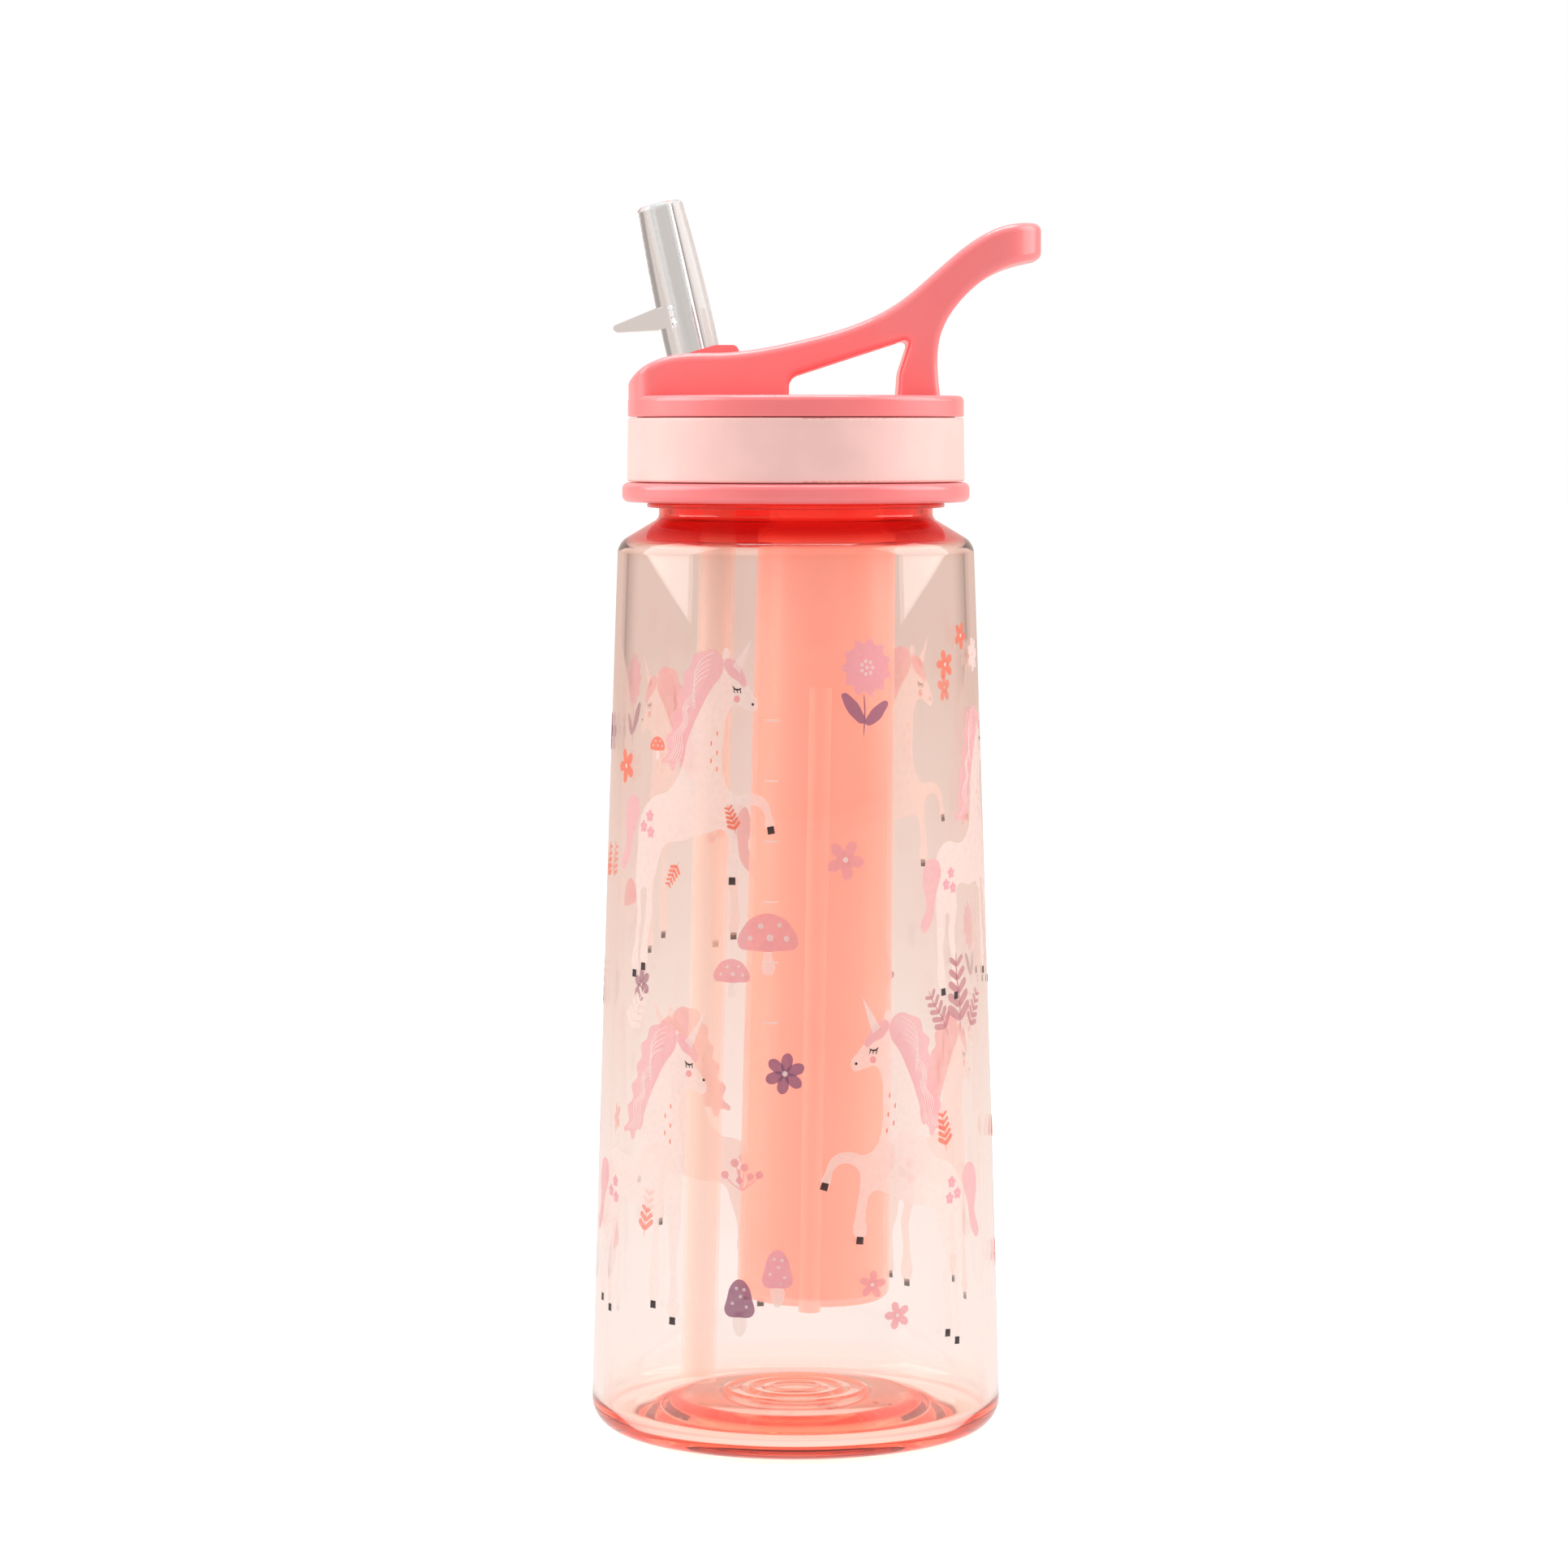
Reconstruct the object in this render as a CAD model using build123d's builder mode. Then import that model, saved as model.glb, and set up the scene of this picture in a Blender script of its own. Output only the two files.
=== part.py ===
from build123d import *
from math import cos, radians, sin, tan
import os

# A child's flip-spout drinking bottle with a carrying handle and a removable ice stick.
# Millimetres, +Z up. The origin is the centre of the foot plane on the bottle's axis, and the
# handle reaches toward +X. Everything above the shoulder screws on as one lid, and the straw
# and the ice stick hang from it into the bottle.

os.makedirs("parts", exist_ok=True)

# Driving dimensions: bottle
foot_radius = 41.8
foot_corner = 5.7
shoulder_radius = 36.0
shoulder_corner = 3.6
shoulder_z = 180.1
shoulder_slope = 31.0
side_bulge = 0.2
wall = 2.2
floor_thickness = 3.2
punt_radius = 26.8
punt_step = 2.8
punt_rise = 1.4
punt_ring_radii = (4.7, 9.1, 13.9)
punt_ring_height = 0.4
neck_radius = 27.7
neck_wall = 2.8
neck_height = 14.0
bead_depth = 2.4
bead_thickness = 0.9
bead_gap = 0.25

# Driving dimensions: screw closure
thread_pitch = 4.5
thread_turns = 1.25
thread_depth = 1.7
thread_root = 2.3
thread_crest = 1.0
thread_gap = 0.4
thread_below_rim = 9.6
skirt_wall = 2.3
skirt_drop = 10.7
flange_height = 3.9
flange_radius = 35.1
flange_edge = 1.3
web_thickness = 2.6
gasket_thickness = 1.9
gasket_gap = 0.1
gasket_lip = 1.3
gasket_lip_depth = 2.6
gasket_lip_gap = 0.3
band_thickness = 1.8
band_flare = 0.2
band_height = 13.2
band_gap = 0.2
band_edge = 0.5

# Driving dimensions: top cover and carrying handle
cover_height = 4.2
cover_edge = 1.1
collar_wall = 2.1
handle_width = 28.8
handle_reach = 49.1
handle_rise = 34.4
handle_tip_height = 7.4
handle_plan_corner = 9.3
handle_corner = 3.4
handle_edge = 1.6
hump_rise = 8.0
hump_fall = 8.2
hook_reach = 20.9
hook_drop = 20.0
leg_thickness = 7.6
leg_lean = 1.9
window_back_x = -1.4
slot_width = 14.6

# Driving dimensions: spout and its seat
spout_pivot_x = -19.2
spout_lean = 12.7
spout_length = 38.2
spout_root_radius = 5.3
spout_tip_radius = 4.6
spout_tip_round = 1.2
spout_bore_radius = 2.1
barrel_radius = 6.0
trunnion_radius = 2.5
trunnion_gap = 0.05
ear_thickness = 2.0
ear_rise = 8.8
barrel_gap = 0.2
seat_gap = 0.1
seat_thickness = 1.2
seat_depth = 2.4
lever_reach = 14.4
lever_height = 15.6
lever_root = 4.3
lever_tip = 1.4
lever_width = 9.0

# Driving dimensions: straw and vent valve
straw_x = -15.3
straw_lean = 1.4
straw_radius = 3.7
straw_wall = 0.7
straw_foot_z = 8.6
straw_socket = 10.0
boot_wall = 1.5
boot_bore_radius = 2.6
vent_x = -7.0
vent_y = 15.5
vent_stem_radius = 1.2
vent_dome_radius = 3.6

# Driving dimensions: ice stick
stick_x = 6.6
stick_lean = 1.0
stick_neck_radius = 11.6
stick_neck_length = 17.2
stick_gap = 0.3
stick_top_gap = 0.6
stick_socket_wall = 2.0
stick_socket_depth = 11.0
stick_top_radius = 13.9
stick_foot_radius = 15.6
stick_foot_corner = 2.3
stick_foot_z = 26.2
stick_wall = 1.3
stick_neck_wall = 2.2
plug_head = 2.4
plug_spigot = 5.0
ring_drop = 8.5
ring_section = 0.525
gel_gap = 0.05
gel_level = 28.0
rib_radius = 2.2
rib_top_z = 151.5
rib_embed = 0.6

# Heights and radii that follow from them
shoulder_drop = (shoulder_radius - neck_radius) * tan(radians(shoulder_slope))
rim_z = shoulder_z + shoulder_drop + neck_height
web_z = rim_z + gasket_thickness + 2 * gasket_gap
web_top_z = web_z + web_thickness
flange_z = rim_z - skirt_drop
band_z = flange_z + flange_height
cover_z = band_z + band_height
cover_top_z = cover_z + cover_height
neck_bore = neck_radius - neck_wall
skirt_bore = neck_radius + thread_depth + thread_gap
skirt_radius = skirt_bore + skirt_wall
band_radius = skirt_radius + band_thickness
pivot_z = web_top_z + seat_thickness + barrel_radius
barrel_half = slot_width / 2 - 0.5
ear_inner = barrel_half + barrel_gap
ear_outer = ear_inner + ear_thickness
seat_radius = barrel_radius + seat_gap
cradle_front_x = spout_pivot_x - barrel_radius - 2.7
cradle_back_x = spout_pivot_x + 2.5 * barrel_radius
slot_front_x = cradle_front_x - band_gap
slot_back_x = spout_pivot_x + spout_length + 1.2


# The bottle: one blown shell with a pushed-up foot, a screw neck and a bead under the lid.
def shell_outline(inset, floor_z, neck_line, top_z):
    """Half outline of the shell, or of its cavity when inset, from the axis out and up to the top.
    The push-up steps down sharply under the floor, and falls away gently inside."""
    fall = 5 * inset
    step = punt_radius + inset / 2 - wall / 2
    middle = ((foot_radius + shoulder_radius) / 2 + side_bulge - inset, (foot_corner + shoulder_z) / 2)
    points = (
        (0, floor_z + punt_step + punt_rise),
        (step * 0.6, floor_z + punt_step + punt_rise * 0.7),
        (step - 0.5 - fall / 4, floor_z + punt_step),
        (step + 0.7 + fall / 2, floor_z),
        (foot_radius + 0.12 - inset, floor_z),
        middle,
        (shoulder_radius - inset, shoulder_z - inset / 4),
        (neck_line, shoulder_z + shoulder_drop - inset / 4),
        (neck_line, top_z),
    )
    shoulder_round = max(shoulder_corner - inset, 1.2)
    floor_round = 0.8 + fall / 2
    rounds = (20, floor_round, floor_round, foot_corner - inset, 12000, shoulder_round, 1.6)
    return FilletPolyline(*points, radius=rounds)


def thread_ridge(radius, start_z, depth):
    """One helical thread ridge that stands on a wall of this radius, outward for a positive depth."""
    helix = Helix(thread_pitch, thread_pitch * thread_turns, radius, center=(0, 0, start_z))
    root = -0.3 if depth > 0 else 0.3
    with BuildPart() as ridge:
        with BuildSketch(Plane(helix @ 0, x_dir=(1, 0, 0), z_dir=helix % 0)):
            with BuildLine():
                Polyline(
                    (root, -thread_root / 2),
                    (depth, -thread_crest / 2),
                    (depth, thread_crest / 2),
                    (root, thread_root / 2),
                    close=True,
                )
            make_face()
        sweep(path=helix, is_frenet=True)
    return ridge.part


neck_thread = thread_ridge(neck_radius, rim_z - thread_below_rim, thread_depth)

with BuildPart() as bottle_body:
    with BuildSketch(Plane.XZ):
        with BuildLine():
            outside = shell_outline(0, 0, neck_radius, rim_z)
            Polyline(outside @ 1, (0, rim_z), outside @ 0)
        make_face()
    revolve(axis=Axis.Z)
    with BuildSketch(Plane.XZ):
        with BuildLine():
            inside = shell_outline(wall, floor_thickness, neck_bore, rim_z + 1)
            Polyline(inside @ 1, (0, rim_z + 1), inside @ 0)
        make_face()
    revolve(axis=Axis.Z, mode=Mode.SUBTRACT)
    fillet(bottle_body.edges().filter_by(GeomType.CIRCLE).group_by(Axis.Z)[-1], neck_wall / 4)
    with BuildSketch(Plane.XY.offset(flange_z - bead_gap)):
        Circle(neck_radius + bead_depth)
        Circle(neck_radius - neck_wall / 2, mode=Mode.SUBTRACT)
    extrude(amount=-bead_thickness)
    add(neck_thread)
    # Low moulded rings in the middle of the push-up
    for ring_radius in punt_ring_radii:
        with BuildSketch(Plane.XZ):
            with Locations((ring_radius, floor_thickness + punt_step + punt_rise * 0.85)):
                Circle(punt_ring_height)
        revolve(axis=Axis.Z)
bottle_body.part.label = "bottle_body"


# The lid's seal: a silicone washer with a lip that goes down inside the neck.
lip_radius = neck_bore - gasket_lip_gap
gasket_bore = lip_radius - gasket_lip
with BuildPart() as lid_gasket:
    with BuildSketch(Plane.XZ):
        with BuildLine():
            Polyline(
                (gasket_bore, rim_z - gasket_lip_depth),
                (lip_radius, rim_z - gasket_lip_depth),
                (lip_radius, rim_z + gasket_gap),
                (skirt_bore - 0.6, rim_z + gasket_gap),
                (skirt_bore - 0.6, web_z - gasket_gap),
                (gasket_bore, web_z - gasket_gap),
                close=True,
            )
        make_face()
    revolve(axis=Axis.Z)
    fillet(lid_gasket.edges().group_by(Axis.Z)[0], gasket_lip / 3)
lid_gasket.part.label = "lid_gasket"


# The straw and the ice stick hang from the lid's web and lean a little toward -X at the foot.
def hanging_plane(x, lean):
    """A plane on the web's underside whose Z runs up along a piece that hangs there."""
    tilt = radians(lean)
    return Plane(origin=(x, 0, web_z), x_dir=(cos(tilt), 0, -sin(tilt)), z_dir=(sin(tilt), 0, cos(tilt)))


def half_section(hanging):
    """The upright plane through a hanging piece's axis, for a half outline to revolve."""
    return Plane(origin=hanging.origin, x_dir=hanging.x_dir, z_dir=(0, -1, 0))


def own_axis(hanging):
    return Axis(hanging.origin, hanging.z_dir)


stick_plane = hanging_plane(stick_x, stick_lean)
straw_plane = hanging_plane(straw_x, straw_lean)
socket_radius = stick_neck_radius + stick_gap


# The screw cap: a skirt with the inner thread, a flange at its foot, and a web that carries the
# straw port, the vent and the ice stick's socket.
cap_thread = thread_ridge(skirt_bore, rim_z - thread_below_rim + thread_pitch / 2, -thread_depth)

with BuildPart() as screw_cap:
    with BuildSketch(Plane.XY.offset(flange_z)):
        Circle(flange_radius)
    extrude(amount=flange_height)
    fillet(screw_cap.edges(), flange_edge)
    with BuildSketch(Plane.XY.offset(flange_z)):
        Circle(skirt_radius)
    extrude(amount=cover_z - flange_z)
    with BuildSketch(Plane.XY.offset(flange_z)):
        Circle(skirt_bore)
    extrude(amount=web_z - flange_z, mode=Mode.SUBTRACT)
    with BuildSketch(Plane.XY.offset(web_top_z)):
        Circle(skirt_radius - collar_wall)
    extrude(amount=cover_z - web_top_z, mode=Mode.SUBTRACT)
    add(cap_thread)
    # Socket for the stick's neck, on the stick's own line
    with BuildSketch(stick_plane.offset(web_thickness / 2)):
        Circle(socket_radius + stick_socket_wall)
        Circle(socket_radius, mode=Mode.SUBTRACT)
    extrude(amount=-web_thickness / 2 - stick_socket_depth)
    with BuildSketch(Plane.XY.offset(web_top_z)):
        with Locations((straw_x, 0)):
            Circle(boot_bore_radius + boot_wall)
        with Locations((vent_x, vent_y)):
            Circle(vent_stem_radius)
            with PolarLocations(vent_dome_radius * 0.66, 3):
                Circle(vent_stem_radius * 0.55)
    extrude(amount=-web_thickness, mode=Mode.SUBTRACT)
screw_cap.part.label = "screw_cap"


# The grip band: a soft sleeve round the skirt, a hair wider at its foot.
with BuildPart() as grip_band:
    with BuildSketch(Plane.XZ):
        with BuildLine():
            Polyline(
                (skirt_radius, band_z + band_gap),
                (band_radius + band_flare, band_z + band_gap),
                (band_radius, cover_z - band_gap),
                (skirt_radius, cover_z - band_gap),
                close=True,
            )
        make_face()
    revolve(axis=Axis.Z)
    outer_edges = grip_band.edges().filter_by(GeomType.CIRCLE).filter_by(lambda e: e.radius > skirt_radius + 1)
    fillet(outer_edges, band_edge)
grip_band.part.label = "grip_band"


# The top cover: the lid's rim disc, two cheeks round the spout and the carrying handle, in one
# moulding. The side view is drawn first, then trimmed by the plan and opened by the slots.
leg_front_x = handle_reach - hook_reach
leg_back_x = leg_front_x - leg_thickness
hook_z = cover_top_z + handle_rise - handle_tip_height


def handle_outline():
    """Side view of the cheeks and the handle. Both ends run past the plan, which trims them."""
    base = cover_top_z - cover_height / 2
    over = handle_reach + handle_plan_corner
    hump_z = cover_top_z + hump_rise
    crest = Spline(
        (-band_radius - 1.2, hump_z - hump_fall),
        (-band_radius + 3.2, hump_z - hump_fall * 0.3),
        (-band_radius + 9.3, hump_z),
        (spout_pivot_x + 4.2, hump_z + 0.5),
        (0, cover_top_z + handle_rise * 0.312),
        (handle_reach * 0.4, cover_top_z + handle_rise * 0.522),
        (handle_reach * 0.66, cover_top_z + handle_rise * 0.83),
        (handle_reach * 0.85, cover_top_z + handle_rise * 0.98),
        (handle_reach, cover_top_z + handle_rise),
        (over, cover_top_z + handle_rise),
    )
    hook = Spline(
        (over, hook_z + 0.3),
        (handle_reach - 1, hook_z),
        (handle_reach - hook_reach * 0.4, hook_z - hook_drop * 0.1),
        (handle_reach - hook_reach * 0.72, hook_z - hook_drop * 0.34),
        (leg_front_x + 0.6, hook_z - hook_drop * 0.75),
        (leg_front_x, hook_z - hook_drop * 1.1),
        (leg_front_x + 0.8, base),
    )
    Polyline(crest @ 1, hook @ 0)
    Polyline(hook @ 1, (-band_radius - 1.2, base), crest @ 0)


def window_outline():
    """The see-through opening between the cheeks, the handle's slope and its leg."""
    points = (
        (window_back_x, cover_top_z - cover_height / 4),
        (window_back_x, cover_top_z + 3.6),
        (leg_back_x + leg_lean + 0.4, cover_top_z + 11.5),
        (leg_back_x, cover_top_z + 4.6),
        (leg_back_x - 0.4, cover_top_z - cover_height / 4),
    )
    FilletPolyline(*points, radius=(2.5, 0.9, 6))
    Line(points[-1], points[0])


with BuildPart() as top_cover:
    with BuildSketch(Plane.XZ.offset(-handle_width)):
        with BuildLine():
            handle_outline()
        make_face()
    extrude(amount=2 * handle_width)
    with BuildSketch(Plane.XY.offset(cover_z)) as plan:
        Circle(band_radius - 0.1)
        Rectangle(2 * band_radius, handle_width, mode=Mode.INTERSECT)
        fillet(plan.vertices().group_by(Axis.X)[0], handle_corner)
        with Locations((handle_reach / 2, 0)):
            RectangleRounded(handle_reach, handle_width, handle_plan_corner)
    extrude(amount=cover_height + handle_rise + 1, mode=Mode.INTERSECT)
    upright = top_cover.edges().filter_by(Axis.Z)
    across = top_cover.edges().filter_by(Axis.Y)
    at_base = top_cover.edges().filter_by(lambda e: e.center().Z < cover_top_z + 0.1)
    fillet(top_cover.edges() - upright - across - at_base, handle_edge)
    with BuildSketch(Plane.XZ.offset(-handle_width)):
        with BuildLine():
            window_outline()
        make_face()
    extrude(amount=2 * handle_width, mode=Mode.SUBTRACT)
    window_edges = top_cover.edges().filter_by(
        lambda e: window_back_x - 1 < e.center().X < leg_back_x + 2.5
        and abs(abs(e.center().Y) - handle_width / 2) < 0.01
        and cover_top_z < e.center().Z < hook_z - hook_drop * 0.7
    )
    fillet(window_edges, handle_edge)
    with BuildSketch(Plane.XZ):
        with BuildLine():
            rim = FilletPolyline(
                (0, cover_z),
                (band_radius, cover_z),
                (band_radius, cover_top_z),
                (0, cover_top_z),
                radius=(0.3, cover_edge),
            )
            Line(rim @ 1, rim @ 0)
        make_face()
    revolve(axis=Axis.Z)
    # Spigot that centres the cover in the cap's collar
    spigot_radius = skirt_radius - collar_wall - 0.1
    with BuildSketch(Plane.XY.offset(cover_z)):
        Circle(spigot_radius)
        Circle(spigot_radius - wall, mode=Mode.SUBTRACT)
    extrude(amount=web_top_z + band_gap - cover_z)
    # Wide slot for the spout's seat, then the narrow slot that the folded spout lies in
    with BuildSketch(Plane.XY.offset(web_top_z)):
        with Locations(((slot_front_x + cradle_back_x + band_gap) / 2, 0)):
            Rectangle(cradle_back_x + band_gap - slot_front_x, 2 * ear_outer + 2 * band_gap)
    extrude(amount=cover_top_z + handle_rise - web_top_z, mode=Mode.SUBTRACT)
    with BuildSketch(Plane.XY.offset(cover_top_z)):
        with Locations(((cradle_back_x + slot_back_x) / 2, 0)):
            Rectangle(slot_back_x - cradle_back_x, slot_width)
    extrude(amount=handle_rise, mode=Mode.SUBTRACT)
top_cover.part.label = "top_cover"


# The spout's cradle: a floor on the web, a low front wall and two ears that hold the trunnions.
seat_front_x = spout_pivot_x - barrel_radius
seat_back_x = spout_pivot_x + barrel_radius + 0.8
seat_half = ear_inner - 0.1
ear_back_x = spout_pivot_x + barrel_radius + 1.7
with BuildPart() as spout_cradle:
    with BuildSketch(Plane.XY.offset(web_top_z)):
        with Locations(((cradle_front_x + cradle_back_x) / 2, 0)):
            Rectangle(cradle_back_x - cradle_front_x, 2 * ear_outer)
    extrude(amount=seat_depth)
    with BuildSketch(Plane.XY.offset(web_top_z)):
        with Locations(((cradle_front_x + seat_front_x - 0.4) / 2, 0)):
            Rectangle(seat_front_x - 0.4 - cradle_front_x, 2 * ear_outer)
    extrude(amount=pivot_z - web_top_z)
    for ear_face_y in (-ear_inner, ear_outer):
        with BuildSketch(Plane.XZ.offset(-ear_face_y)):
            with BuildLine():
                ear = FilletPolyline(
                    (cradle_front_x, web_top_z),
                    (cradle_front_x, pivot_z + 1.5),
                    (spout_pivot_x - 2, pivot_z + ear_rise - 1.5),
                    (spout_pivot_x + 3, pivot_z + ear_rise),
                    (ear_back_x, pivot_z + ear_rise),
                    (ear_back_x, web_top_z),
                    radius=(1.5, 3, 3, 1.2),
                )
                Line(ear @ 1, ear @ 0)
            make_face()
        extrude(amount=ear_thickness)
    with BuildSketch(Plane.XZ.offset(-ear_outer)):
        with Locations((spout_pivot_x, pivot_z)):
            Circle(trunnion_radius + trunnion_gap)
    extrude(amount=2 * ear_outer, mode=Mode.SUBTRACT)
    with BuildSketch(Plane.XY.offset(web_top_z)):
        with Locations(((seat_front_x + seat_back_x) / 2, 0)):
            Rectangle(seat_back_x - seat_front_x, 2 * ear_inner)
    extrude(amount=seat_depth, mode=Mode.SUBTRACT)
spout_cradle.part.label = "spout_cradle"


# The spout's seal: a silicone saddle under the barrel, with a port on the spout's open line.
lean = radians(spout_lean)
spout_plane = Plane(
    origin=(spout_pivot_x, 0, pivot_z), x_dir=(cos(lean), 0, sin(lean)), z_dir=(-sin(lean), 0, cos(lean))
)
with BuildPart() as spout_seal:
    with BuildSketch(Plane.XY.offset(web_top_z)):
        with Locations(((seat_front_x + seat_back_x) / 2, 0)):
            Rectangle(seat_back_x - seat_front_x, 2 * seat_half)
    extrude(amount=seat_depth)
    with BuildSketch(Plane.XZ):
        with Locations((spout_pivot_x, pivot_z)):
            Circle(seat_radius)
    extrude(amount=ear_outer, both=True, mode=Mode.SUBTRACT)
    with BuildSketch(spout_plane):
        Circle(spout_bore_radius)
    extrude(amount=-2 * barrel_radius, mode=Mode.SUBTRACT)
spout_seal.part.label = "spout_seal"


# The spout: a tapering tube on a cross barrel with two trunnions, and a thumb lever.
with BuildPart() as spout:
    with BuildSketch(half_section(spout_plane)):
        with BuildLine():
            taper = ThreePointArc(
                (spout_root_radius, 0),
                ((spout_root_radius + spout_tip_radius) / 2 + 0.5, spout_length * 0.56),
                (spout_tip_radius, spout_length),
            )
            Polyline(taper @ 1, (0, spout_length), (0, 0), taper @ 0)
        make_face()
    revolve(axis=own_axis(spout_plane))
    fillet(spout.edges().sort_by(Axis.Z)[-1], spout_tip_round)
    with BuildSketch(Plane.XZ):
        with Locations((spout_pivot_x, pivot_z)):
            Circle(barrel_radius)
    extrude(amount=barrel_half, both=True)
    with BuildSketch(Plane.XZ):
        with Locations((spout_pivot_x, pivot_z)):
            Circle(trunnion_radius)
    extrude(amount=ear_outer - 0.2, both=True)
    with BuildSketch(half_section(spout_plane)):
        with BuildLine():
            Polyline(
                (0, lever_height - lever_root / 2),
                (-spout_root_radius, lever_height - lever_root / 2),
                (-lever_reach + lever_tip / 2, lever_height - lever_tip / 2),
            )
            ThreePointArc(
                (-lever_reach + lever_tip / 2, lever_height - lever_tip / 2),
                (-lever_reach, lever_height),
                (-lever_reach + lever_tip / 2, lever_height + lever_tip / 2),
            )
            Polyline(
                (-lever_reach + lever_tip / 2, lever_height + lever_tip / 2),
                (-spout_root_radius, lever_height + lever_root / 2),
                (0, lever_height + lever_root / 2),
                (0, lever_height - lever_root / 2),
            )
        make_face()
    extrude(amount=lever_width / 2, both=True)
    with BuildSketch(spout_plane.offset(-2 * barrel_radius)):
        Circle(spout_bore_radius)
    extrude(amount=spout_length + 3 * barrel_radius, mode=Mode.SUBTRACT)
spout.part.label = "spout"


# The straw's boot: silicone, pushed up into the web's port and round the straw's top.
with BuildPart() as straw_boot:
    with BuildSketch(Plane.XY.offset(web_top_z)):
        with Locations((straw_x, 0)):
            Circle(boot_bore_radius + boot_wall)
    extrude(amount=-web_thickness)
    with BuildSketch(Plane.XY.offset(web_z)):
        with Locations((straw_x, 0)):
            Circle(straw_radius + 2 * boot_wall)
    extrude(amount=-boot_wall)
    with BuildSketch(straw_plane.offset(-boot_wall / 2)):
        Circle(straw_radius + boot_wall)
    extrude(amount=boot_wall / 2 - straw_socket)
    with BuildSketch(straw_plane.offset(-boot_wall)):
        Circle(straw_radius)
    extrude(amount=-straw_socket, mode=Mode.SUBTRACT)
    with BuildSketch(Plane.XY.offset(web_top_z)):
        with Locations((straw_x, 0)):
            Circle(boot_bore_radius)
    extrude(amount=-web_thickness - 2 * boot_wall, mode=Mode.SUBTRACT)
straw_boot.part.label = "straw_boot"


# The straw: a plain drawn tube that stops short of the floor.
straw_length = (web_z - straw_foot_z) / cos(radians(straw_lean)) - boot_wall
with BuildPart() as straw:
    with BuildSketch(straw_plane.offset(-boot_wall)):
        Circle(straw_radius)
        Circle(straw_radius - straw_wall, mode=Mode.SUBTRACT)
    extrude(amount=-straw_length)
straw.part.label = "straw"


# The vent: a silicone umbrella that lets air in under the lid and keeps water back.
with BuildPart() as vent_valve:
    with BuildSketch(Plane.XZ.offset(-vent_y)):
        with BuildLine():
            Polyline(
                (vent_x, web_top_z + vent_stem_radius),
                (vent_x + vent_stem_radius * 0.5, web_top_z + vent_stem_radius),
                (vent_x + vent_stem_radius * 1.5, web_top_z),
                (vent_x + vent_stem_radius, web_top_z),
                (vent_x + vent_stem_radius, web_z),
                (vent_x + vent_dome_radius, web_z),
                (vent_x + vent_dome_radius, web_z - 0.5),
                (vent_x + vent_stem_radius, web_z - 1.1),
                (vent_x, web_z - 1.1),
                close=True,
            )
        make_face()
    revolve(axis=Axis((vent_x, vent_y, 0), (0, 0, 1)))
vent_valve.part.label = "vent_valve"


# The ice stick: a sealed tube of freezer gel. Its neck pushes up into the lid's socket, where a
# rubber ring holds it.
stick_line = own_axis(stick_plane)
stick_foot = -(web_z - stick_foot_z) / cos(radians(stick_lean))
shoulder_foot = -stick_neck_length - 1.2


def stick_outline(inset, neck_line, top, foot):
    """Half outline of the stick's tube, or of its inside when inset, in the stick's own plane."""
    points = (
        (0, foot),
        (stick_foot_radius - inset, foot),
        (stick_top_radius - inset, shoulder_foot - inset),
        (neck_line, -stick_neck_length - inset),
        (neck_line, top),
    )
    outline = FilletPolyline(*points, radius=(stick_foot_corner - inset * 0.7, 1.1, 0.8))
    Polyline(outline @ 1, (0, top), outline @ 0)


with BuildPart() as ice_stick_tube:
    mouth = -stick_top_gap - plug_head
    neck_inside = stick_neck_radius - stick_neck_wall
    with BuildSketch(half_section(stick_plane)):
        with BuildLine():
            stick_outline(0, stick_neck_radius, mouth, stick_foot)
        make_face()
    revolve(axis=stick_line)
    # Rib down the front, from part way up to just under the foot
    rib_top = -(web_z - rib_top_z) / cos(radians(stick_lean))
    with BuildSketch(stick_plane.offset(rib_top)):
        with Locations((-0.06 * stick_top_radius, -stick_top_radius - rib_radius * 0.1)):
            Circle(rib_radius)
    with BuildSketch(stick_plane.offset(stick_foot - rib_embed)):
        with Locations((-0.06 * stick_top_radius, -stick_foot_radius + rib_radius * 0.45)):
            Circle(rib_radius)
    loft()
    with BuildSketch(half_section(stick_plane)):
        with BuildLine():
            stick_outline(stick_wall, neck_inside, mouth + 1, stick_foot + stick_wall)
        make_face()
    revolve(axis=stick_line, mode=Mode.SUBTRACT)
    with BuildSketch(stick_plane.offset(-ring_drop)):
        Circle(stick_neck_radius + 1)
        Circle(stick_neck_radius + 0.25 - 2 * ring_section, mode=Mode.SUBTRACT)
    extrude(amount=-2.4 * ring_section, mode=Mode.SUBTRACT)
ice_stick_tube.part.label = "ice_stick_tube"

with BuildPart() as ice_stick_plug:
    with BuildSketch(stick_plane.offset(-stick_top_gap)):
        Circle(stick_neck_radius)
    extrude(amount=-plug_head)
    fillet(ice_stick_plug.edges().sort_by(Axis.Z)[-1], 0.6)
    with BuildSketch(stick_plane.offset(-stick_top_gap - plug_head)):
        Circle(neck_inside)
        Circle(neck_inside - stick_wall, mode=Mode.SUBTRACT)
    extrude(amount=-plug_spigot)
ice_stick_plug.part.label = "ice_stick_plug"

with BuildPart() as ice_stick_ring:
    with BuildSketch(half_section(stick_plane)):
        with Locations((stick_neck_radius + 0.25 - ring_section, -ring_drop - 1.2 * ring_section)):
            Circle(ring_section)
    revolve(axis=stick_line)
ice_stick_ring.part.label = "ice_stick_ring"

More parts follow.
